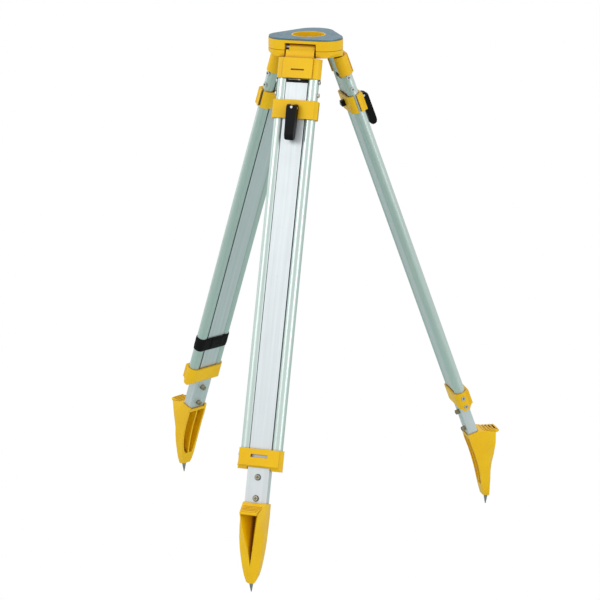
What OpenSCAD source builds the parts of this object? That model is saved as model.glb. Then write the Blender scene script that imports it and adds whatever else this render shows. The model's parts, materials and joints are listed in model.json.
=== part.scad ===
// Builder's tripod with quick-clamp telescopic legs, legs spread and retracted.
// Origin: centre of the head's flat top face. +Z up, first leg towards -Y.

/* [Head] */
// Distance from the head's axis to the centre of each corner arc
corner_c = 41.5; // [36:0.5:48]
// Radius of each rounded corner
corner_r = 41; // [34:0.5:46]
// Thickness of the aluminium top plate
plate_t = 4; // [3:0.5:6]
// Level of the split between the upper and lower castings
split_z = 24; // [20:0.5:28]
// Total height of the head
head_h = 38; // [34:0.5:44]
// Radius of the central hole
hole_r = 32; // [28:0.5:36]
// Width of the recess each leg hinges in
recess_w = 65; // [60:1:72]
// Distance from the head's axis to each recess's back wall
recess_back = 37; // [36:0.5:40]

/* [Leg hinge] */
// Distance from the head's axis to each hinge pin
hinge_r = 48.6; // [46:0.2:52]
// Depth of each hinge pin below the top face
hinge_z = 19; // [17:0.5:22]
// Radius of the hinge pin
pin_r = 4; // [3:0.25:5]
// Angle between each leg and the vertical
spread = 20.2; // [0:0.2:30]

/* [Outer leg] */
// Half the leg's width over both rails
leg_half_w = 43; // [38:0.5:48]
// Half the leg's depth
leg_half_d = 11.5; // [9:0.5:14]
// Inner edge of each rail from the leg's centre plane
rail_in = 24; // [22:0.5:28]
// Station where the rails start, measured down the leg from the hinge pin
rail_top = 27; // [24:0.5:32]
// Station where the rails end
rail_end = 847; // [700:1:1000]
// Station of the hinge casting's lower edge
cast_end = 65.3; // [58:0.5:75]

// Radius of the side bolts' heads
bolt_head_r = 4.5; // [3.5:0.1:5]

/* [Lower collar] */
// Station of the collar's top edge
collar_top = 811; // [680:1:980]
// Height of the collar
collar_h = 42; // [36:1:50]

/* [Inner leg] */
// Half width of the inner leg's box profile
inner_half_w = 22.5; // [18:0.5:26]
// Half depth of the inner leg's box profile
inner_half_d = 10; // [8:0.5:12]
// Wall thickness of the inner leg
inner_wall = 1.8; // [1.2:0.2:3]
// Station of the inner leg's upper end
inner_top = 73.7; // [70:0.5:90]
// Station of the inner leg's lower end
inner_end = 926; // [780:1:1080]

/* [Clamp] */
// Station of the clamp jaws' upper edge
jaw_top = 109.8; // [105:0.5:130]
// Height of the clamp jaws
jaw_h = 37.3; // [30:0.5:45]
// Station of the clamp bolt and the lever's pivot
bolt_s = 127.2; // [120:0.5:140]
// Distance of the lever's pivot from the leg's centre plane
lever_v = 24; // [22:0.5:28]

/* [Foot] */
// Station of the foot's top edge
foot_top = 918; // [770:1:1070]
// Station of the spike's tip
tip_s = 1095; // [950:1:1250]
// Offset of the spike's tip inwards from the leg's centre plane
tip_v = 24; // [15:0.5:30]

/* [Centre screw] */
// Major radius of the 5/8 inch screw
screw_r = 7.94; // [7.94:0.01:7.94]
// Depth of the screw's tip below the top face when lowered
screw_tip = 6.2; // [1:0.1:7]

/* [Hidden] */
$fn = 64;
azimuths = [270, 30, 150];
rail_u = leg_half_w - leg_half_d;
cast_r = leg_half_d + 2.5;
jaw_r = leg_half_d + 5;
collar_r = leg_half_d + 3.3;
collar_end = collar_top + collar_h;
bolt_stations = [70.2, 96.6];
collar_bolt_stations = [824, 844];
foot_screw_stations = [867, 909];
screw_corner_r = 60;
arm_z = head_h + 0.4;

// ---- placing ----

// Leg frame: +X is the leg's outward face, Y its width, -Z runs down the leg.
module on_leg(k) {
    rotate([0, 0, azimuths[k]])
        translate([hinge_r, 0, -hinge_z])
            rotate([0, -spread, 0])
                children();
}

// Station along the leg, distance out from its centre plane, distance across it.
module at(s, v = 0, u = 0) {
    translate([v, u, -s]) children();
}

// Prism along the leg between two stations, from a 2D outline in (v, u).
module along(s0, s1) {
    translate([0, 0, -s1]) linear_extrude(s1 - s0) children();
}

// Slab across the leg, from a side outline in (v, -s).
module across(half) {
    translate([0, half, 0]) rotate([90, 0, 0]) linear_extrude(2 * half) children();
}

// Prism through the leg's depth, from a front outline in (u, -s).
module through(v0, v1) {
    translate([v0, 0, 0]) rotate([90, 0, 90]) linear_extrude(v1 - v0) children();
}

// Round bar across the leg.
module bar_u(r, u0, u1) {
    translate([0, u0, 0]) rotate([-90, 0, 0]) cylinder(r = r, h = u1 - u0);
}

// Round bar through the leg's depth.
module bar_v(r, v0, v1) {
    translate([v0, 0, 0]) rotate([0, 90, 0]) cylinder(r = r, h = v1 - v0);
}

// ---- head ----

// The sides lie a hair inside the corner arcs' tangents, so they cross them cleanly.
module outline(r) {
    for (k = [0:2])
        rotate(90 + 120 * k) translate([corner_c, 0]) circle(r);
    polygon([for (k = [0:2]) for (e = [-1, 1])
        let (f = 30 + 120 * k, q = r - 0.08)
        [corner_c * cos(f + 60 * e) + q * cos(f), corner_c * sin(f + 60 * e) + q * sin(f)]]);
}

module level(z_low, z_high) {
    translate([0, 0, -z_low]) linear_extrude(z_low - z_high) children();
}

module recesses(z_low, z_high) {
    for (a = azimuths)
        rotate([0, 0, a])
            translate([recess_back, -recess_w / 2, -z_low])
                cube([45, recess_w, z_low - z_high]);
}

module pin_bores() {
    for (a = azimuths)
        rotate([0, 0, a]) translate([hinge_r, 0, -hinge_z])
            bar_u(pin_r + 0.05, -recess_w / 2 - 5, recess_w / 2 + 5);
}

module corner_bores(r, z_low, z_high) {
    for (k = [0:2])
        rotate([0, 0, 90 + 120 * k]) translate([screw_corner_r, 0, -z_low])
            cylinder(r = r, h = z_low - z_high);
}

module top_plate() {
    color("lightsteelblue")
    difference() {
        level(plate_t, 0) outline(corner_r - 0.8);
        translate([0, 0, -plate_t - 1]) cylinder(r = hole_r + 3.1, h = plate_t + 2);
    }
}

module head_upper() {
    color("gold")
    difference() {
        union() {
            level(split_z, plate_t) outline(corner_r);
            translate([0, 0, -plate_t - 1]) cylinder(r = hole_r + 3, h = plate_t + 0.7);
        }
        translate([0, 0, -split_z - 1]) cylinder(r = hole_r, h = split_z + 2);
        recesses(split_z + 1, 10);
        pin_bores();
        corner_bores(3.05, split_z + 1, 9);
    }
}

module head_lower() {
    color("gold")
    difference() {
        level(head_h, split_z + 0.6) outline(corner_r);
        translate([0, 0, -head_h - 1]) cylinder(r = hole_r, h = head_h);
        recesses(head_h + 1, split_z - 1);
        corner_bores(3.05, head_h + 1, split_z - 1);
        for (k = [1, 2])
            rotate([0, 0, 90 + 120 * k]) translate([screw_corner_r, 0, -head_h - 1])
                cylinder(r = 5.6, h = 4.5);
        for (k = [0:2])
            rotate([0, 0, 90 + 120 * k]) translate([corner_c + corner_r + 3.5, 0, -head_h - 3.5])
                rotate([0, 45, 0]) cube([20, 90, 20], center = true);
    }
}

module hinge_pins() {
    color("silver")
    for (a = azimuths)
        rotate([0, 0, a]) translate([hinge_r, 0, -hinge_z])
            bar_u(pin_r, -recess_w / 2 - 4.5, recess_w / 2 + 4.5);
}

module head_screws() {
    color("dimgray")
    for (k = [1, 2])
        rotate([0, 0, 90 + 120 * k]) translate([screw_corner_r, 0, 0])
            difference() {
                union() {
                    translate([0, 0, -head_h + 3.5]) cylinder(r = 3, h = head_h - 14);
                    translate([0, 0, -head_h - 0.5]) cylinder(r = 5.4, h = 4);
                }
                translate([0, 0, -head_h - 1]) cylinder(r = 2.6, h = 3, $fn = 6);
            }
}

// ---- centre screw and its arm ----

module screw_arm() {
    color("gray")
    level(arm_z + 4, arm_z)
        difference() {
            union() {
                for (y = [-8, 8]) translate([0, y]) circle(16);
                translate([-16, -8]) square([32, 16]);
                translate([-9, 8]) square([18, screw_corner_r - 8]);
                translate([0, screw_corner_r]) circle(10);
            }
            for (y = [-8, 8]) translate([0, y]) circle(10.4);
            translate([-10.4, -8]) square([20.8, 16]);
            translate([0, screw_corner_r]) circle(3.08);
        }
}

module arm_bolt() {
    color("dimgray")
    translate([0, screw_corner_r, 0])
        difference() {
            union() {
                translate([0, 0, -arm_z - 5]) cylinder(r = 3, h = arm_z - 6);
                translate([0, 0, -arm_z - 8.8]) cylinder(r = 6, h = 4);
            }
            translate([0, 0, -arm_z - 9.5]) cylinder(r = 2.9, h = 3.5, $fn = 6);
        }
}

module screw_bush() {
    color("khaki")
    difference() {
        union() {
            translate([0, 0, -arm_z - 6.8]) cylinder(r = 10, h = 9.6);
            translate([0, 0, -arm_z - 6.8]) cylinder(r = 14, h = 2.4);
            translate([0, 0, -arm_z + 0.4]) cylinder(r = 14, h = 2.4);
        }
        translate([0, 0, -arm_z - 8]) cylinder(r = screw_r + 0.08, h = 14);
    }
}

module lift_ring() {
    color("silver")
    difference() {
        translate([0, 0, -66]) cylinder(r = 13, h = 2);
        translate([0, 0, -67]) cylinder(r = screw_r + 0.08, h = 4);
    }
}

module clamp_screw() {
    color("silver")
    union() {
        translate([0, 0, -92]) cylinder(r = screw_r, h = 57);
        translate([0, 0, -36]) cylinder(r = screw_r - 1, h = 4);
        translate([0, 0, -33]) cylinder(r = screw_r, h = 33 - screw_tip - 0.8);
        translate([0, 0, -screw_tip - 0.8]) cylinder(r1 = screw_r, r2 = screw_r - 0.8, h = 0.8);
    }
}

module knob() {
    color("black")
    difference() {
        union() {
            translate([0, 0, -102]) cylinder(r = 14.5, h = 35.7);
            for (a = [0:60:300])
                rotate([0, 0, a]) translate([13, 0, -100]) cylinder(r = 4, h = 32);
        }
        translate([0, 0, -92.02]) cylinder(r = screw_r + 0.02, h = 40);
    }
}

// ---- upper hinge of each leg ----

// Outline of both rails, grown by g.
module rails2(g) {
    for (e = [-1, 1])
        intersection() {
            translate([0, e * rail_u]) circle(leg_half_d + g);
            translate([-20, e > 0 ? rail_in - g : -rail_u - 20]) square([40, rail_u - rail_in + 20 + g]);
        }
}

// Hollow inside both rails, shrunk by g.
module rail_hollow2(g) {
    for (e = [-1, 1]) {
        intersection() {
            translate([0, e * rail_u]) circle(leg_half_d - 1.8 - g);
            translate([-20, e > 0 ? rail_u : -rail_u - 20]) square([40, 20]);
        }
        translate([-7.8 + g, e > 0 ? rail_in + 4.3 + g : -rail_u - 0.1])
            square([15.6 - 2 * g, rail_u - rail_in - 4.2 - g]);
    }
}

module shell2(r) {
    for (e = [-1, 1]) translate([0, e * rail_u]) circle(r);
    translate([-r, -rail_u]) square([2 * r, 2 * rail_u]);
}

module casting() {
    color("gold")
    difference() {
        union() {
            bar_u(7, -24, 29.5);
            at(0, 0, 2.75) across(26.75)
                polygon([[-7, 0], [7.5, 0], [7.5, -6], [10, -12], [10, -rail_top], [-8, -rail_top], [-8, -4]]);
            at(8, -8, -29.5) translate([0, 0, -rail_top + 8]) cube([18, 6, rail_top - 8]);
            difference() {
                along(rail_top - 3, cast_end)
                    difference() {
                        shell2(cast_r);
                        translate([-20, -rail_u]) square([17.4, 2 * rail_u]);
                    }
                along(rail_top, cast_end + 1) rails2(0.05);
            }
            through(cast_r - 1, cast_r + 3)
                polygon([[-31, -cast_end], [31, -cast_end], [31, -27.5], [28.5, -24.5], [-28.5, -24.5], [-31, -27.5]]);
            along(rail_top - 1, 107) rail_hollow2(0.3);
        }
        bar_u(pin_r + 0.08, -40, 40);
        at(50, cast_r - 1, -13.6) cube([6, 27.2, 3]);
        for (s = bolt_stations)
            at(s) for (e = [-1, 1]) bar_u(2.45, e > 0 ? 33 : -44, e > 0 ? 44 : -33);
    }
}

module hinge_block() {
    color("silver")
    union() {
        at(cast_end - 2, -10.2, -23.5) cube([7.5, 47, cast_end - 2 - rail_top - 1]);
        at(rail_top + 2, -10.2, -23.5) cube([2.1, 47, rail_top - 8]);
    }
}

// ---- outer leg ----

module rails() {
    color("lightgray")
    difference() {
        along(rail_top, rail_end)
            difference() {
                rails2(0);
                rail_hollow2(0);
                for (e = [-1, 1])
                    translate([-3.5, e > 0 ? rail_in - 1 : -rail_in - 2.3]) square([7, 3.3]);
            }
        for (s = bolt_stations)
            at(s) for (e = [-1, 1]) bar_u(2.45, e > 0 ? 38 : -46, e > 0 ? 46 : -38);
        for (s = collar_bolt_stations) at(s) bar_u(2.45, -46, -38);
    }
}

module side_bolt(s, u_head, e) {
    at(s) rotate([0, 0, e > 0 ? 0 : 180])
        difference() {
            union() {
                bar_u(2.4, 34.5, u_head + 0.2);
                bar_u(bolt_head_r, u_head + 0.05, u_head + 2.7);
            }
            translate([0, u_head + 1, 0]) rotate([-90, 0, 0]) cylinder(r = 2.2, h = 3, $fn = 6);
        }
}

module rail_bolts() {
    color("gray")
    union() {
        for (s = bolt_stations) for (e = [-1, 1]) side_bolt(s, leg_half_w, e);
        for (s = collar_bolt_stations) side_bolt(s, rail_u + collar_r - 2.5, -1);
    }
}

module passage2() {
    translate([-inner_half_d - 1, -rail_in - 0.2]) square([2 * inner_half_d + 2, 2 * rail_in + 0.4]);
    translate([-3.6, -26.2]) square([7.2, 52.4]);
}

module collar() {
    color("gold")
    difference() {
        union() {
            along(collar_top, collar_end) shell2(collar_r);
            through(collar_r - 1, collar_r + 2.7)
                polygon([[-41, -collar_end], [41, -collar_end], [41, -collar_top - 1.5],
                    [39.5, -collar_top], [-39.5, -collar_top], [-41, -collar_top - 1.5]]);
            at(collar_end, 0, -41) cube([collar_r, 82, collar_h]);
        }
        along(collar_top - 1, rail_end + 0.2) rails2(0.1);
        along(collar_top - 1, collar_end + 1) passage2();
        at(collar_top + 17, 9, -17.5) cube([12, 35, 6]);
        for (e = [-1, 1])
            at(collar_end, e * (collar_r + 1)) rotate([0, 45, 0]) cube([14, 120, 14], center = true);
        for (s = collar_bolt_stations)
            at(s) {
                bar_u(2.45, -50, -38);
                bar_u(bolt_head_r + 0.2, -50, -rail_u - collar_r + 2.5);
            }
    }
}

module strap() {
    color("black")
    union() {
        along(730, 761)
            difference() {
                shell2(leg_half_d + 1.8);
                shell2(leg_half_d + 0.2);
            }
        at(757, -leg_half_d - 3.2, -22) cube([1.6, 34, 23]);
    }
}

// ---- sliding inner leg ----

module inner_leg() {
    color("whitesmoke")
    difference() {
        union() {
            along(inner_top, inner_end)
                translate([-inner_half_d, -inner_half_w])
                    square([2 * inner_half_d, 2 * inner_half_w]);
            along(inner_top, rail_end)
                translate([-3, -inner_half_w - 3]) square([6, 2 * inner_half_w + 6]);
        }
        along(inner_top - 1, inner_end + 1)
            translate([-inner_half_d + inner_wall, -inner_half_w + inner_wall])
                square([2 * (inner_half_d - inner_wall), 2 * (inner_half_w - inner_wall)]);
        at(bolt_s) bar_v(3.2, -12, 12);
        for (s = foot_screw_stations) at(s) bar_v(2.6, -12, 12);
    }
}

module end_plug() {
    color("black")
    union() {
        at(inner_top, -9.8, -22.3) cube([19.6, 44.6, 5.6]);
        at(inner_top + 14, -8.1, -20.6) cube([16.2, 41.2, 14]);
    }
}

// One cross-section of the foot's body: [station at the inner edge, station at the outer edge,
// inner edge v, half width, crease v, outer edge v, half width of the outer face].
function ring(r) = [for (p = [[r[2], -r[3]], [r[4], -r[3]], [r[5], -r[6]], [r[5], r[6]], [r[4], r[3]], [r[2], r[3]]])
    [p[0], p[1], -foot_top - r[0] - (r[1] - r[0]) * (p[0] - r[2]) / (r[5] - r[2])]];

module foot_body() {
    rows = [[0, 0, -13, 25.8, 10, 12.6, 24], [25, 20.5, -14.2, 25.8, 19, 48, 19.5],
        [47, 47, -13.4, 25.6, 17.5, 39.5, 16.4], [70, 70, -14.2, 24.9, 14.5, 28.7, 12.3],
        [90, 90, -15.8, 23.4, 9.5, 18, 8.2], [108, 108, -18.2, 21.1, 4.5, 10.4, 5.2],
        [127, 129, -21.4, 17.8, -2.5, 3.6, 2.8], [142, 146, -23.6, 14, -7.5, -3.8, 3],
        [151.5, 159, -25, 9.4, -11.5, -9.5, 4.5], [154, 161, -22.6, 6.4, -13, -12, 4.5]];
    n = len(rows);
    polyhedron(
        points = [for (r = rows) each ring(r)],
        faces = concat([[5, 4, 3, 2, 1, 0]], [[for (i = [0:5]) 6 * n - 6 + i]],
            [for (k = [0:n - 2]) for (i = [0:5])
                [6 * k + i, 6 * k + 6 + (i + 1) % 6, 6 * k + 6 + i]],
            [for (k = [0:n - 2]) for (i = [0:5])
                [6 * k + i, 6 * k + (i + 1) % 6, 6 * k + 6 + (i + 1) % 6]]));
}

// Wedge between the foot's V walls, with its edge moved inwards by g.
module foot_wedge(g) {
    at(foot_top + 7, -3 - g) rotate([0, -3.4, 0]) translate([0, 0, -150])
        linear_extrude(170) polygon([[0, 0], [75, -26.5], [75, 26.5]]);
}

module foot() {
    t = foot_top;
    color("gold")
    difference() {
        union() {
            foot_body();
            at(t + 10, -8, -20.5) cube([16, 41, 79]);
            // foot plate with grip ridges
            intersection() {
                across(24) polygon([[9, -t - 2], [54, -t - 17.5], [56.6, -t - 19.8], [56.2, -t - 22.6],
                    [52, -t - 24], [9, -t - 12]]);
                at(t + 40) linear_extrude(60) polygon([[8, -23], [57.5, -15.5], [57.5, 15.5], [8, 23]]);
            }
            for (i = [0:5])
                at(t + 4.6 + 2.41 * i, 17.5 + 7 * i) bar_u(1.7, -19.3 + 1.03 * i, 19.3 - 1.03 * i);
        }
        along(t - 1, inner_end + 0.3)
            difference() {
                translate([-inner_half_d - 0.1, -inner_half_w - 0.1])
                    square([2 * inner_half_d + 0.2, 2 * inner_half_w + 0.2]);
                translate([-8, -20.5]) square([16, 41]);
            }
        at(t + 5, -20, -20) cube([11.5, 40, 10]);
        // groove between the V walls, under the foot plate
        intersection() {
            foot_wedge(0);
            across(20) polygon([[-6, -t - 15], [10, -t - 15], [75, -t - 30], [75, -t - 140], [-6, -t - 140]]);
        }
        // pockets on the inner side
        for (e = [-1, 1])
            difference() {
                intersection() {
                    across(26) polygon([[-40, -t - 12], [13, -t - 12], [13, -t - 66], [6, -t - 90],
                        [-3, -t - 113], [-9, -t - 126], [-40, -t - 126]]);
                    through(-41, 20) polygon([[1.8 * e, -t - 11.5], [21.4 * e, -t - 11.5], [21.3 * e, -t - 50],
                        [20.2 * e, -t - 78], [17.4 * e, -t - 100], [13.4 * e, -t - 117], [8.5 * e, -t - 127],
                        [1.8 * e, -t - 127]]);
                }
                foot_wedge(9);
            }
        for (s = foot_screw_stations) at(s) bar_v(2.6, -12, 12);
        at(tip_s, -tip_v) rotate([0, spread, 0]) translate([0, 0, 10]) cylinder(r = 5.02, h = 40);
    }
}

module foot_screws() {
    color("rosybrown")
    for (s = foot_screw_stations)
        at(s) difference() {
            union() {
                bar_v(2.5, -19, 10.4);
                bar_v(6.2, inner_half_d, 10.8);
                bar_v(4.7, 10.7, 13.4);
                translate([-18, 0, 0]) rotate([0, 90, 0]) cylinder(r = 5.8, h = 8, $fn = 6);
            }
            translate([11.6, -3.2, -0.8]) cube([3, 6.4, 1.6]);
            translate([11.6, -0.8, -3.2]) cube([3, 1.6, 6.4]);
        }
}

module spike() {
    color("silver")
    at(tip_s, -tip_v) rotate([0, spread, 0])
        union() {
            cylinder(r1 = 0.9, r2 = 5, h = 22);
            translate([0, 0, 22]) cylinder(r = 5, h = 27.9);
        }
}

// ---- clamp on the inner leg ----

module jaw2(v_low, v_high) {
    difference() {
        intersection() {
            shell2(jaw_r);
            translate([v_low, -60]) square([v_high - v_low, 120]);
        }
        shell2(leg_half_d + 0.5);
    }
}

module jaw_outer() {
    color("gold")
    difference() {
        union() {
            along(jaw_top, jaw_top + jaw_h) jaw2(2.5, 20);
            along(jaw_top, jaw_top + jaw_h) translate([10.6, -42.6]) square([jaw_r - 10.6, 85.2]);
            at(jaw_top + 26, 10.3, -9) cube([3, 18, 18]);
        }
        along(jaw_top - 1, jaw_top + jaw_h + 1) intersection() {
            shell2(leg_half_d + 0.5);
            for (e = [-1, 1]) translate([0, e * 40]) square([40, 30], center = true);
        }
        at(bolt_s) bar_v(3.3, 5, 20);
    }
}

module jaw_inner() {
    color("gold")
    difference() {
        union() {
            along(jaw_top, jaw_top + jaw_h) jaw2(-20, -4);
            at(jaw_top + 26, -13.3, -9) cube([3, 18, 18]);
        }
        at(bolt_s) bar_v(3.3, -20, -5);
    }
}

module clamp_bolt() {
    color("silver")
    at(bolt_s)
        union() {
            bar_v(3, -27, lever_v - 4);
            difference() {
                translate([lever_v, 0, 0]) bar_u(5, -4, 4);
                translate([lever_v, 0, 0]) bar_u(2.58, -6, 6);
            }
        }
}

module clamp_nut() {
    color("black")
    at(bolt_s)
        difference() {
            translate([-25, -6, -6]) cube([8.4, 12, 12]);
            bar_v(3.05, -30, 0);
        }
}

module lever() {
    color("black")
    difference() {
        intersection() {
            union() {
                at(bolt_s, lever_v) bar_u(7, -11, 11);
                at(bolt_s + 1.5, lever_v + 2.4) bar_u(7, -11, 11);
                across(11) polygon([[17.2, -bolt_s], [17.2, -bolt_s - 30], [18.7, -bolt_s - 46],
                    [17.4, -bolt_s - 53], [17.6, -bolt_s - 58], [19.6, -bolt_s - 62.5],
                    [23.4, -bolt_s - 65.2], [28, -bolt_s - 65.2], [31.6, -bolt_s - 62.6],
                    [33.6, -bolt_s - 58], [34, -bolt_s - 52], [33.35, -bolt_s - 1.5]]);
            }
            through(10, 40) polygon([[-10.5, -bolt_s + 9], [10.5, -bolt_s + 9], [10.5, -bolt_s - 10],
                [9.1, -bolt_s - 62.5], [6.9, -bolt_s - 67], [-6.9, -bolt_s - 67],
                [-9.1, -bolt_s - 62.5], [-10.5, -bolt_s - 10]]);
        }
        at(bolt_s + 7, 10, -4.6) cube([lever_v - 10 + 5.3, 9.2, 20]);
        at(bolt_s, lever_v) bar_u(2.52, -12, 12);
        at(bolt_s) bar_v(2.6, lever_v + 4, 40);
    }
}

module lever_pin() {
    color("silver")
    union() {
        at(bolt_s, lever_v) bar_u(2.5, -10.4, 10.4);
        at(bolt_s) bar_v(2.58, lever_v + 6.4, lever_v + 9.9);
    }
}

top_plate();
head_upper();
head_lower();
hinge_pins();
head_screws();
screw_arm();
arm_bolt();
screw_bush();
lift_ring();
clamp_screw();
knob();
on_leg(2) strap();
on_leg(0) casting();  // casting_a
on_leg(1) casting();  // casting_b
on_leg(2) casting();  // casting_c
on_leg(0) hinge_block();  // hinge_block_a
on_leg(1) hinge_block();  // hinge_block_b
on_leg(2) hinge_block();  // hinge_block_c
on_leg(0) rails();  // rails_a
on_leg(1) rails();  // rails_b
on_leg(2) rails();  // rails_c
on_leg(0) rail_bolts();  // rail_bolts_a
on_leg(1) rail_bolts();  // rail_bolts_b
on_leg(2) rail_bolts();  // rail_bolts_c
on_leg(0) collar();  // collar_a
on_leg(1) collar();  // collar_b
on_leg(2) collar();  // collar_c
on_leg(0) inner_leg();  // inner_leg_a
on_leg(1) inner_leg();  // inner_leg_b
on_leg(2) inner_leg();  // inner_leg_c
on_leg(0) end_plug();  // end_plug_a
on_leg(1) end_plug();  // end_plug_b
on_leg(2) end_plug();  // end_plug_c
on_leg(0) foot();  // foot_a
on_leg(1) foot();  // foot_b
on_leg(2) foot();  // foot_c
on_leg(0) foot_screws();  // foot_screws_a
on_leg(1) foot_screws();  // foot_screws_b
on_leg(2) foot_screws();  // foot_screws_c
on_leg(0) spike();  // spike_a
on_leg(1) spike();  // spike_b
on_leg(2) spike();  // spike_c
on_leg(0) jaw_outer();  // jaw_outer_a
on_leg(1) jaw_outer();  // jaw_outer_b
on_leg(2) jaw_outer();  // jaw_outer_c
on_leg(0) jaw_inner();  // jaw_inner_a
on_leg(1) jaw_inner();  // jaw_inner_b
on_leg(2) jaw_inner();  // jaw_inner_c
on_leg(0) clamp_bolt();  // clamp_bolt_a
on_leg(1) clamp_bolt();  // clamp_bolt_b
on_leg(2) clamp_bolt();  // clamp_bolt_c
on_leg(0) clamp_nut();  // clamp_nut_a
on_leg(1) clamp_nut();  // clamp_nut_b
on_leg(2) clamp_nut();  // clamp_nut_c
on_leg(0) lever();  // lever_a
on_leg(1) lever();  // lever_b
on_leg(2) lever();  // lever_c
on_leg(0) lever_pin();  // lever_pin_a
on_leg(1) lever_pin();  // lever_pin_b
on_leg(2) lever_pin();  // lever_pin_c
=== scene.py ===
import json
import math
import bpy
import bmesh
from mathutils import Matrix, Vector


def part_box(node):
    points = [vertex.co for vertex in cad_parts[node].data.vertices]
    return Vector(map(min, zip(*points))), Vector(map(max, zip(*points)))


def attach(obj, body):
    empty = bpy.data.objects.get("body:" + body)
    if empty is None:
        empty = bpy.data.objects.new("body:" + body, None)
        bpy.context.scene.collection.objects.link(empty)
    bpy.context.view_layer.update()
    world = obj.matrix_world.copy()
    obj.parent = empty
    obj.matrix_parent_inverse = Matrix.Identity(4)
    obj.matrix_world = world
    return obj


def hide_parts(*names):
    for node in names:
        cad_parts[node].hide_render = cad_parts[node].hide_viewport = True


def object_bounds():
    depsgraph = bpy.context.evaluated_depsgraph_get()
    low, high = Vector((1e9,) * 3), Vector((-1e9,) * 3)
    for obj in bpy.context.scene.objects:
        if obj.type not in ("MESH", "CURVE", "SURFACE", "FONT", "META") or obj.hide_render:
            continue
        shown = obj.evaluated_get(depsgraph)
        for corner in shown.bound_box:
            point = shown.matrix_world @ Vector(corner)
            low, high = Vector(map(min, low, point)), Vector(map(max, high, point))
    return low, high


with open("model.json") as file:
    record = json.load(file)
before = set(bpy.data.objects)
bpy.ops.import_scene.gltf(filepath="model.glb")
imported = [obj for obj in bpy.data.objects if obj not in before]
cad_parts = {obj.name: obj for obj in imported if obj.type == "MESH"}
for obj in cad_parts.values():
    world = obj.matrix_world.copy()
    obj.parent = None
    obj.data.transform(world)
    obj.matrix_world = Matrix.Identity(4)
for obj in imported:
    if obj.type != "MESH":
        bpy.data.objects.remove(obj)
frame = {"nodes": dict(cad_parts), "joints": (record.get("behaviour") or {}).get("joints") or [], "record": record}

# Looks of a builder's tripod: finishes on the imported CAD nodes, a threaded clamp screw and a woven
# band in place of two plain nodes, and the studio. Lengths are in metres.

cad_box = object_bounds()
nodes = frame["nodes"]
joints = {j["name"]: j for j in frame["joints"]}
slot_of = {s["node"]: s["material_slot"] for s in frame["record"]["subparts"]}
scene = bpy.context.scene
LEGS = "abc"
STRAPPED = "c"


# ---- leg frames: x outward from the leg's face, y across its width, z up along it ----

class Leg:
    """One leg's hinge point, the turn into its own frame, and the way back to the world."""

    def __init__(self, k):
        self.pivot = Vector(joints["leg_fold_" + k]["pos_m"])
        across = Vector(joints["leg_fold_" + k]["axis"]).normalized()
        down = Vector(joints["leg_extend_" + k]["axis"]).normalized()
        out = across.cross(-down).normalized()
        self.to_leg = Matrix((out, across, -down))
        self.world = Matrix.Translation(self.pivot) @ self.to_leg.transposed().to_4x4()


legs = {k: Leg(k) for k in LEGS}


def leg_of(name):
    """The leg that a CAD node belongs to, or None for the head's nodes."""
    if name == "strap":
        return STRAPPED
    return name[-1] if name[-2] == "_" and name[-1] in LEGS else None


# ---- node materials ----

BEVEL_SAMPLES, CREASE_SAMPLES = 4, 6
FLAT_COSINE, EDGE_COSINE = 0.995, 0.86      # between the face's own normal and the rounded one
CLOSED, OPEN = 0.35, 0.9                    # ambient occlusion in a corner and on open ground, for the painted corner shade


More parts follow.
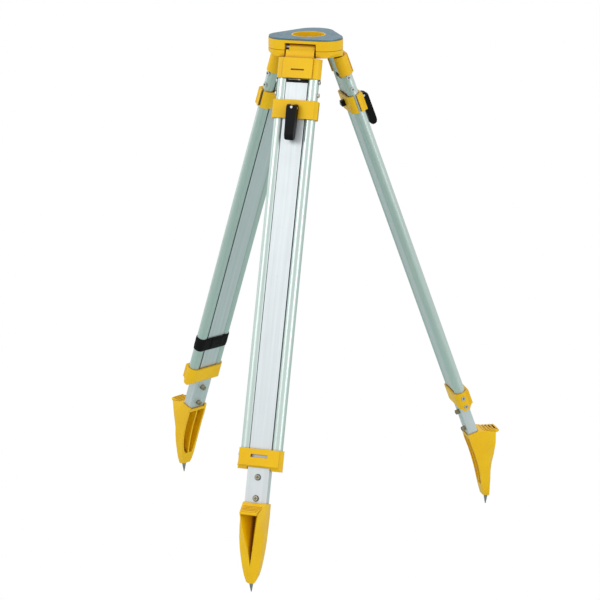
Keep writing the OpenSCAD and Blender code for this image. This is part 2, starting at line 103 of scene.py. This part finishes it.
class Nodes:
    """Short form for building one material's node tree.

    A keyword is an input's name, i and the input's number, or p_ and a property's name.
    """

    def __init__(self, name):
        self.mat = bpy.data.materials.new(name)
        self.mat.use_nodes = True
        self.tree = self.mat.node_tree
        self.shader = self.tree.nodes["Principled BSDF"]

    def add(self, kind, **links):
        node = self.tree.nodes.new(kind)
        for key, value in links.items():
            self.put(node, key, value)
        return node

    def put(self, node, key, value):
        if key.startswith("p_"):
            setattr(node, key[2:], value)
            return
        by_number = key[0] == "i" and key[1:].isdigit()
        socket = node.inputs[int(key[1:]) if by_number else key]
        if isinstance(value, bpy.types.NodeSocket):
            self.tree.links.new(value, socket)
        else:
            socket.default_value = value

    def set(self, key, value):
        self.put(self.shader, key, value)

    def math(self, op, a, b):
        return self.add("ShaderNodeMath", p_operation=op, i0=a, i1=b).outputs[0]

    def coords(self, leg=None, scale=(1, 1, 1)):
        """Rest coordinates in metres, turned into the leg's own frame where there is one."""
        out = self.add("ShaderNodeTexCoord").outputs["Object"]
        if leg:
            m = self.add("ShaderNodeMapping", Vector=out)
            m.inputs["Rotation"].default_value = leg.to_leg.to_euler("XYZ")
            m.inputs["Location"].default_value = -(leg.to_leg @ leg.pivot)
            out = m.outputs[0]
        if tuple(scale) != (1, 1, 1):
            out = self.add("ShaderNodeMapping", Vector=out, Scale=scale).outputs[0]
        return out

    def noise(self, vec, scale, detail=3.0, rough=0.55):
        n = self.add("ShaderNodeTexNoise", Vector=vec, Scale=scale, Detail=detail, Roughness=rough)
        return n.outputs[0]

    def span(self, value, low, high, to_low=0.0, to_high=1.0):
        n = self.add("ShaderNodeMapRange", i0=value, i1=low, i2=high, i3=to_low, i4=to_high)
        return n.outputs[0]

    def mix(self, amount, a, b):
        n = self.add("ShaderNodeMix", p_data_type="RGBA", i0=amount)
        for socket, value in ((n.inputs[6], a), (n.inputs[7], b)):
            if isinstance(value, bpy.types.NodeSocket):
                self.tree.links.new(value, socket)
            else:
                socket.default_value = value
        return n.outputs[2]

    def rounded(self, radius):
        return self.add("ShaderNodeBevel", p_samples=BEVEL_SAMPLES, Radius=radius).outputs[0]

    def edges(self, radius):
        """1 close to an edge and 0 on flat ground."""
        soft = self.rounded(radius)
        flat = self.add("ShaderNodeNewGeometry").outputs["Normal"]
        dot = self.add("ShaderNodeVectorMath", p_operation="DOT_PRODUCT", i0=soft, i1=flat)
        return self.span(dot.outputs["Value"], FLAT_COSINE, EDGE_COSINE)

    def corner_shade(self, distance):
        """Painted shade: 1 in a corner and 0 on open ground, read from ambient occlusion."""
        n = self.add("ShaderNodeAmbientOcclusion", p_samples=CREASE_SAMPLES, Distance=distance)
        return self.span(n.outputs["AO"], CLOSED, OPEN, 1.0, 0.0)

    def bump(self, height, strength, distance, normal=None):
        n = self.add("ShaderNodeBump", Height=height, Strength=strength, Distance=distance)
        if normal is not None:
            self.tree.links.new(normal, n.inputs["Normal"])
        return n.outputs[0]


def rgb(r, g, b):
    """A colour given as it looks on screen, 0 to 255."""
    def linear(c):
        c /= 255
        return c / 12.92 if c < 0.0404 else ((c + 0.055) / 1.055) ** 2.4

    return (linear(r), linear(g), linear(b), 1.0)


def yellow(name, leg):
    """Painted casting: fine grain, painted shade darkening its corners, and edges rubbed pale."""
    n = Nodes(name)
    p = n.coords(leg)
    tone = n.mix(n.span(n.noise(p, 14.0), 0.3, 0.7), rgb(233, 180, 3), rgb(240, 192, 6))
    # painted shade: corners and recesses darkened to deep orange
    tone = n.mix(n.math("MULTIPLY", n.corner_shade(0.009), 0.85), tone, rgb(150, 84, 3))
    worn = n.span(n.noise(p, 90.0, 4.0), 0.5, 0.68)
    scuff = n.math("MULTIPLY", n.edges(0.0009), worn)
    tone = n.mix(n.math("MULTIPLY", scuff, 0.55), tone, rgb(255, 222, 120))
    n.set("Base Color", tone)
    n.set("Roughness", n.span(n.noise(p, 60.0, 4.0), 0.3, 0.7, 0.30, 0.44))
    n.set("Specular IOR Level", 0.3)
    grain = n.math("ADD", n.noise(p, 1900.0, 2.0), n.math("MULTIPLY", n.noise(p, 320.0, 2.0), 0.6))
    n.set("Normal", n.bump(grain, 0.16, 0.00012, n.rounded(0.0007)))
    return n.mat


def drawn_metal(name, leg, tint, rough, dull):
    """Extruded, anodised aluminium: die lines and handling streaks run along the leg, with painted shade in its
    corners.
    """
    n = Nodes(name)
    lines = n.noise(n.coords(leg, (1.0, 1.0, 0.006)), 1500.0, 3.0)
    bands = n.noise(n.coords(leg, (1.0, 1.0, 0.02)), 160.0, 2.0)
    cloud = n.noise(n.coords(leg), 30.0, 5.0)
    nicks = n.span(n.noise(n.coords(leg, (1.0, 1.0, 0.12)), 420.0, 5.0, 0.7), 0.66, 0.74)
    tone = n.mix(n.span(bands, 0.3, 0.7), tint, tuple(c * 0.9 for c in tint[:3]) + (1.0,))
    # painted shade: corners and grooves darkened to grey
    tone = n.mix(n.math("MULTIPLY", n.corner_shade(0.004), 0.5), tone, rgb(92, 98, 100))
    tone = n.mix(n.math("MULTIPLY", nicks, 0.35), tone, rgb(150, 155, 158))
    n.set("Base Color", tone)
    n.set("Metallic", dull)
    dulled = n.span(cloud, 0.3, 0.7, rough - 0.04, rough + 0.06)
    n.set("Roughness", n.math("ADD", dulled, n.math("MULTIPLY", lines, 0.06)))
    relief = n.math("ADD", lines, n.math("MULTIPLY", nicks, -0.6))
    n.set("Normal", n.bump(relief, 0.12, 0.00006, n.rounded(0.0004)))
    return n.mat


def faced_plate(name, _leg):
    """Top plate: pressed aluminium with a fine turned lay round the hole and rub marks."""
    n = Nodes(name)
    p = n.coords()
    rings = n.add("ShaderNodeTexWave", Vector=p, p_wave_type="RINGS", p_rings_direction="Z",
                  Scale=260.0, Distortion=1.2, Detail=3.0).outputs[1]
    rubs = n.span(n.noise(n.coords(None, (1.0, 0.16, 1.0)), 240.0, 5.0, 0.7), 0.56, 0.7)
    tone = n.mix(n.span(n.noise(p, 22.0, 4.0), 0.3, 0.7), rgb(92, 126, 142), rgb(112, 144, 158))
    tone = n.mix(n.math("MULTIPLY", rubs, 0.3), tone, rgb(190, 196, 200))
    # painted highlight: every edge of the plate lightened nearly white
    tone = n.mix(n.math("MULTIPLY", n.edges(0.0008), 0.8), tone, rgb(228, 232, 234))
    n.set("Base Color", tone)
    n.set("Metallic", 0.85)
    n.set("Roughness", n.span(n.noise(p, 110.0, 4.0), 0.3, 0.7, 0.34, 0.5))
    n.set("Normal", n.bump(n.math("ADD", rings, rubs), 0.1, 0.00005, n.rounded(0.0005)))
    return n.mat


def steel(name, leg, tint, rough, shine, layers=()):
    """Turned or plated metal; layers are (distance from the leg's middle plane, tint beyond it)."""
    n = Nodes(name)
    p = n.coords(leg)
    base = tint
    if layers:
        out = n.add("ShaderNodeSeparateXYZ", Vector=p).outputs[0]
        for level, beyond in layers:
            base = n.mix(n.math("GREATER_THAN", out, level), base, beyond)
    stain = n.span(n.noise(p, 130.0, 4.0), 0.35, 0.7, 0.0, 0.3)
    tone = n.mix(stain, base, rgb(96, 92, 86))
    # painted shade: corners and joints darkened nearly black
    tone = n.mix(n.math("MULTIPLY", n.corner_shade(0.0035), 0.9), tone, rgb(34, 31, 27))
    # painted highlight: every edge lightened towards white
    tone = n.mix(n.math("MULTIPLY", n.edges(0.0005), 0.5), tone, rgb(238, 238, 236))
    n.set("Base Color", tone)
    n.set("Metallic", shine)
    n.set("Roughness", n.span(n.noise(p, 260.0, 4.0), 0.3, 0.7, rough, rough + 0.18))
    n.set("Normal", n.bump(n.noise(p, 1400.0, 3.0), 0.12, 0.00006, n.rounded(0.0004)))
    return n.mat


def black(name, leg, rough, grain):
    """Moulded plastic with a fine grain and slightly greyed edges."""
    n = Nodes(name)
    p = n.coords(leg)
    tone = n.mix(n.span(n.noise(p, 70.0, 4.0), 0.3, 0.7), rgb(4, 4, 5), rgb(9, 9, 10))
    worn = n.span(n.noise(p, 160.0, 3.0), 0.4, 0.7, 0.1, 0.5)
    tone = n.mix(n.math("MULTIPLY", n.edges(0.0008), worn), tone, rgb(70, 72, 74))
    n.set("Specular IOR Level", 0.16)
    n.set("Base Color", tone)
    n.set("Roughness", n.span(n.noise(p, 180.0, 3.0), 0.3, 0.7, rough, rough + 0.14))
    n.set("Normal", n.bump(n.noise(p, grain, 2.0), 0.25, 0.0001, n.rounded(0.0008)))
    return n.mat


def webbing(name, leg):
    """Black woven band: rows of thread along and across the strap, worn paler on the ridges."""
    n = Nodes(name)
    p = n.coords(leg)
    weft, warp = (n.add("ShaderNodeTexWave", Vector=p, p_bands_direction=way, Scale=scale,
                        Distortion=twist, Detail=2.0).outputs[1]
                  for way, scale, twist in (("Z", 420.0, 1.5), ("Y", 300.0, 2.0)))
    weave = n.math("ADD", n.math("MULTIPLY", weft, 0.6), n.math("MULTIPLY", warp, 0.4))
    tone = n.mix(weave, rgb(3, 3, 4), rgb(15, 15, 16))
    tone = n.mix(n.span(n.noise(p, 55.0, 4.0), 0.5, 0.72, 0.0, 0.3), tone, rgb(32, 32, 34))
    n.set("Base Color", tone)
    n.set("Roughness", n.span(weave, 0.0, 1.0, 0.92, 0.74))
    n.set("Specular IOR Level", 0.2)
    n.set("Sheen Weight", 0.05)
    n.set("Sheen Roughness", 0.4)
    n.set("Normal", n.bump(n.math("ADD", weave, n.noise(p, 2400.0, 2.0)), 0.5, 0.00022))
    return n.mat


# The foot's screws: a dark washer, and from just above it a pale head.
SCREW_LAYERS = ((0.0096, rgb(58, 54, 44)), (0.01085, rgb(196, 190, 168)))

RECIPES = {
    "plate_metal": faced_plate,
    "yellow_casting": yellow,
    "leg_aluminium": lambda m, leg: drawn_metal(m, leg, rgb(212, 227, 222), 0.3, 0.82),
    "panel_aluminium": lambda m, leg: drawn_metal(m, leg, rgb(224, 230, 233), 0.42, 0.78),
    "plated_steel": lambda m, leg: steel(m, leg, rgb(228, 230, 232), 0.24, 0.85),
    "dark_steel": lambda m, leg: steel(m, leg, rgb(88, 88, 90), 0.35, 1.0),
    "arm_steel": lambda m, leg: steel(m, leg, rgb(150, 154, 158), 0.32, 1.0),
    "spike_steel": lambda m, leg: steel(m, leg, rgb(176, 174, 168), 0.28, 1.0),
    "brass": lambda m, leg: steel(m, leg, rgb(206, 172, 98), 0.26, 1.0),
    "screw_brass": lambda m, leg: steel(m, leg, rgb(176, 166, 138), 0.3, 0.9, SCREW_LAYERS),
    "black_plastic": lambda m, leg: black(m, leg, 0.38, 1500.0),
    "black_rubber": webbing,
}
made = {}


def finish_of(slot, k=None):
    """The finish of a record slot, in the frame of one leg or of the head."""
    key = (slot, k)
    if key not in made:
        name = slot + ("_" + k if k else "")
        made[key] = RECIPES[slot](name, legs[k] if k else None)
    return made[key]


WELD_GAP = 0.000004
FLAT_ANGLE, SHARP_ANGLE = math.radians(1.2), math.radians(28)
EDGE = {"yellow_casting": 0.0009, "black_plastic": 0.0012, "black_rubber": 0.0006, "plate_metal": 0.0006,
        "leg_aluminium": 0.00035, "panel_aluminium": 0.0003}


def soften(obj, width):
    """Rounds a CAD node's edges: its flat faces are made whole first, so that only real edges are cut."""
    weld = obj.modifiers.new("weld", "WELD")
    weld.merge_threshold = WELD_GAP
    flat = obj.modifiers.new("flat", "DECIMATE")
    flat.decimate_type = "DISSOLVE"
    flat.angle_limit = FLAT_ANGLE
    edge = obj.modifiers.new("edge", "BEVEL")
    edge.width = width
    edge.segments = 2
    edge.limit_method = "ANGLE"
    edge.angle_limit = SHARP_ANGLE
    edge.use_clamp_overlap = True
    edge.miter_outer = "MITER_ARC"
    smooth = obj.modifiers.new("smooth", "WEIGHTED_NORMAL")
    smooth.weight = 80
    smooth.keep_sharp = False


for name, obj in nodes.items():
    obj.data.materials.clear()
    obj.data.materials.append(finish_of(slot_of[name], leg_of(name)))
    if slot_of[name] in EDGE:
        soften(obj, EDGE[slot_of[name]])


# ---- detailed pieces ----

def piece(name, bm, slot, body, k=None, smooth=True, turn=None):
    """A new mesh piece, riding on a body, with the finish of one of the record's slots."""
    mesh = bpy.data.meshes.new(name)
    bmesh.ops.recalc_face_normals(bm, faces=bm.faces)
    bm.to_mesh(mesh)
    bm.free()
    if turn is not None:
        mesh.transform(turn)
    mesh.polygons.foreach_set("use_smooth", [smooth] * len(mesh.polygons))
    obj = bpy.data.objects.new(name, mesh)
    scene.collection.objects.link(obj)
    mesh.materials.append(finish_of(slot, k))
    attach(obj, body)
    return obj


def grid_faces(bm, rows, wrap):
    """Quads between rows of vertices; wrap joins each row's end to its start."""
    for a, b in zip(rows, rows[1:]):
        n = len(a)
        for i in range(n if wrap else n - 1):
            bm.faces.new((a[i], a[(i + 1) % n], b[(i + 1) % n], b[i]))


INCH = 0.0254
THREAD_CREST, THREAD_FLANK = 0.12, 0.72     # shares of half a pitch; the rest is the flat root


def thread_height(turns, angle):
    """Depth of a thread with a flat crest and root, 0 at the crest and 1 at the root."""
    phase = (turns - angle / (2 * math.pi)) % 1.0
    return min(1.0, max(0.0, (abs(phase - 0.5) * 2 - THREAD_CREST) / THREAD_FLANK))


def ring_at(bm, z, radius_at, count=56):
    """A level ring of vertices; radius_at gives the radius at an angle."""
    ring = []
    for i in range(count):
        a = 2 * math.pi * i / count
        r = radius_at(a)
        ring.append(bm.verts.new((r * math.cos(a), r * math.sin(a), z)))
    return ring


def clamp_screw():
    """The 5/8 inch screw: 11 turns an inch, a run-out groove, a plain shank and a dished tip."""
    low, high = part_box("clamp_screw")
    knob_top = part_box("knob")[1].z
    r, pitch, depth = high.x, INCH / 11, 0.00125
    threaded, rings_per_turn = 0.0268, 12
    tip, run_out = high.z, high.z - threaded
    ramp_len, groove = 0.0016, 0.001
    bm = bmesh.new()
    rows, z = [], tip
    while z > run_out:
        lead = min(1.0, (tip - z) / ramp_len)
        tail = min(1.0, (z - run_out) / ramp_len)
        turns = (tip - z) / pitch
        rows.append(ring_at(bm, z, lambda a: min(
            r - thread_height(turns, a) * depth * tail, r - ramp_len * (1 - lead))))
        z -= pitch / rings_per_turn
    shank = ((run_out - 0.0002, r), (run_out - 0.0004, r - groove), (run_out - 0.0022, r - groove),
             (run_out - 0.0026, r), (knob_top + 0.001, r), (low.z, r))
    for z, radius in shank:
        rows.append(ring_at(bm, z, lambda a: radius))
    grid_faces(bm, rows, True)
    crown, dish = ([bm.verts.new((v.co.x * size, v.co.y * size, tip + dz)) for v in rows[0]]
                   for size, dz in ((0.72, 0.00001), (0.25, -0.0006)))
    grid_faces(bm, [dish, crown, rows[0]], True)
    bm.faces.new(dish)
    bm.faces.new(rows[-1])
    obj = piece("clamp_screw_threaded", bm, slot_of["clamp_screw"], "clamp_screw", smooth=False)
    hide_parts("clamp_screw")


def webbing_strip(bm, loop, s0, s1, thick, wrap):
    """A strip of webbing between stations s0 and s1, along a loop of (v, u, normal v, normal u)."""
    across, thin_edge, ripple, wander = 11, 0.55, 0.00022, 0.0003
    rows_out, rows_in = [], []
    for j in range(across):
        t = j / (across - 1)
        inside = min(t, 1 - t) * (across - 1) >= 1
        bulge = thick * (1.0 if inside else thin_edge)
        outer, inner = [], []
        for i, (v, u, nv, nu) in enumerate(loop):
            slack = ripple * math.sin(i * 0.9) * math.sin(3.1 * t + 0.4)
            s = s0 + (s1 - s0) * t + (0.0 if inside else wander * math.sin(i * 0.45))
            lift = bulge + min(slack, 0.0)
            outer.append(bm.verts.new((v + nv * lift, u + nu * lift, -s)))
            inner.append(bm.verts.new((v, u, -s)))
        rows_out.append(outer)
        rows_in.append(inner)
    grid_faces(bm, rows_out, wrap)
    grid_faces(bm, rows_in, wrap)
    for end in (0, -1):
        grid_faces(bm, [rows_out[end], rows_in[end]], wrap)
        if not wrap:
            grid_faces(bm, [[row[end] for row in rows_out], [row[end] for row in rows_in]], False)


def strap():
    """The band round the third leg: woven, with its end lapped over and stitched."""
    leg = legs[STRAPPED]
    corners = [leg.to_leg @ (v.co - leg.pivot) for v in nodes["strap"].data.vertices]
    top, end = -max(c.z for c in corners), -min(c.z for c in corners)
    out = max(c.x for c in corners)
    flat = max(c.y for c in corners) - out
    lap = -min(c.x for c in corners) - out
    wall, steps, flats = 0.0016, 22, 14
    base = out - wall

    ring = []
    for side in (1, -1):
        for i in range(steps + 1):
            a = math.pi / 2 - math.pi * i / steps
            nv, nu = side * math.sin(a), side * math.cos(a)
            ring.append((nv * base, side * flat + nu * base, nv, nu))
        for i in range(1, flats):
            ring.append((-side * base, side * flat * (1 - 2 * i / flats), -side, 0.0))
    bm = bmesh.new()
    webbing_strip(bm, ring, top, end, wall * 0.96, True)

    proud, gap, columns = 0.0003, 0.00005, 12
    flap = [c.y for c in corners if c.x < -out - proud]
    first, last = min(flap), max(flap)
    seam, tuck, thick = -out - gap, 0.004, lap * 0.8
    lapped = [(seam, first + (last - first) * i / columns, -1.0, 0.0) for i in range(columns + 1)]
    webbing_strip(bm, lapped, top + tuck, end - tuck, thick, False)
    obj = piece("strap_band", bm, "black_rubber", "leg_c", STRAPPED, turn=leg.world)
    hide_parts("strap")

    bm = bmesh.new()
    stitches, margin, reach = 9, 0.0055, 0.0028
    shape = Matrix.Diagonal((0.00035, 0.0004, 0.0009, 1.0))
    for u in (first + reach, last - reach):
        for i in range(stitches):
            s = top + margin + (end - top - 2 * margin) * (i + 0.5) / stitches
            place = Matrix.Translation((-out - thick, u, -s))
            bmesh.ops.create_uvsphere(bm, u_segments=8, v_segments=6, radius=1.0, matrix=place @ shape)
    piece("strap_stitches", bm, "black_plastic", "leg_c", STRAPPED, turn=leg.world)


clamp_screw()
strap()


# ---- floor, light and camera ----

# The camera doesn't see the floor: its ground would be as white as the sky, and a leg that extends
# passes below it. It still shades the object and throws light back up.
bm = bmesh.new()
bmesh.ops.create_grid(bm, x_segments=2, y_segments=2, size=16.0)
mesh = bpy.data.meshes.new("floor")
bm.to_mesh(mesh)
bm.free()
floor = bpy.data.objects.new("floor", mesh)
floor.location = (0.0, 4.0, cad_box[0].z)
scene.collection.objects.link(floor)
n = Nodes("floor_paper")
n.set("Base Color", n.mix(n.noise(n.coords(), 3.0), rgb(222, 232, 228), rgb(228, 236, 232)))
n.set("Roughness", 0.9)
floor.data.materials.append(n.mat)
floor.visible_glossy = False
floor.visible_camera = False


def studio():
    """White above, greenish grey below for the metal to reflect, and plain white to the camera."""
    world = bpy.data.worlds.new("studio")
    world.use_nodes = True
    tree = world.node_tree
    kinds = {"place": "TexCoord", "split": "SeparateXYZ", "height": "MapRange", "ramp": "ValToRGB",
             "paper": "Background", "pick": "MixShader", "path": "LightPath"}
    made_nodes = {key: tree.nodes.new("ShaderNode" + kind) for key, kind in kinds.items()}
    place, split, height, ramp, paper, pick, path = made_nodes.values()
    sky, surface = tree.nodes["Background"], tree.nodes["World Output"].inputs["Surface"]
    height.inputs["From Min"].default_value = -1.0
    low, high = ramp.color_ramp.elements
    low.position, low.color = 0.3, (0.5, 0.65, 0.61, 1.0)
    high.position, high.color = 0.56, (1.0, 1.0, 1.0, 1.0)
    sky.inputs["Strength"].default_value = 0.8
    paper.inputs["Color"].default_value = (1.0, 1.0, 1.0, 1.0)
    for source, target in (
            (place.outputs["Generated"], split.inputs[0]), (split.outputs["Z"], height.inputs["Value"]),
            (height.outputs[0], ramp.inputs[0]), (ramp.outputs[0], sky.inputs["Color"]),
            (path.outputs["Is Camera Ray"], pick.inputs[0]), (sky.outputs[0], pick.inputs[1]),
            (paper.outputs[0], pick.inputs[2]), (pick.outputs[0], surface)):
        tree.links.new(source, target)
    return world


def softbox(name, place, target, size, watts):
    data = bpy.data.lights.new(name, "AREA")
    data.shape = "RECTANGLE"
    data.size, data.size_y = size
    data.energy = watts
    lamp = bpy.data.objects.new(name, data)
    lamp.location = place
    lamp.rotation_euler = (Vector(target) - Vector(place)).to_track_quat("-Z", "Y").to_euler()
    scene.collection.objects.link(lamp)


scene.view_settings.view_transform = "Standard"
scene.world = studio()

# Each box: where it hangs, the point it faces, its width and height, and its watts.
softbox("key", (-2.6, -3.4, 2.2), (0, 0, -0.4), (1.8, 2.6), 44)
softbox("fill", (3.4, -1.6, 0.9), (0, 0, -0.5), (1.2, 2.4), 26)
softbox("rim", (-3.6, 0.6, 0.5), (0, 0, -0.5), (1.6, 2.8), 9)
softbox("top", (0.0, 0.4, 3.2), (0, 0, 0), (2.4, 2.4), 20)

# The photograph's viewpoint, fitted to the head and the three feet.
CAMERA_PLACE = (1.2488, -4.3759, 0.7644)
CAMERA_DEGREES = (73.745, -0.108, 16.164)
SENSOR_MM, LENS_MM = 36.0, 135.5

cam = bpy.data.cameras.new("camera")
cam.sensor_width = SENSOR_MM
cam.lens = LENS_MM
cam.clip_end = 100.0
camera = bpy.data.objects.new("camera", cam)
camera.location = CAMERA_PLACE
camera.rotation_euler = [math.radians(angle) for angle in CAMERA_DEGREES]
scene.collection.objects.link(camera)
scene.camera = camera
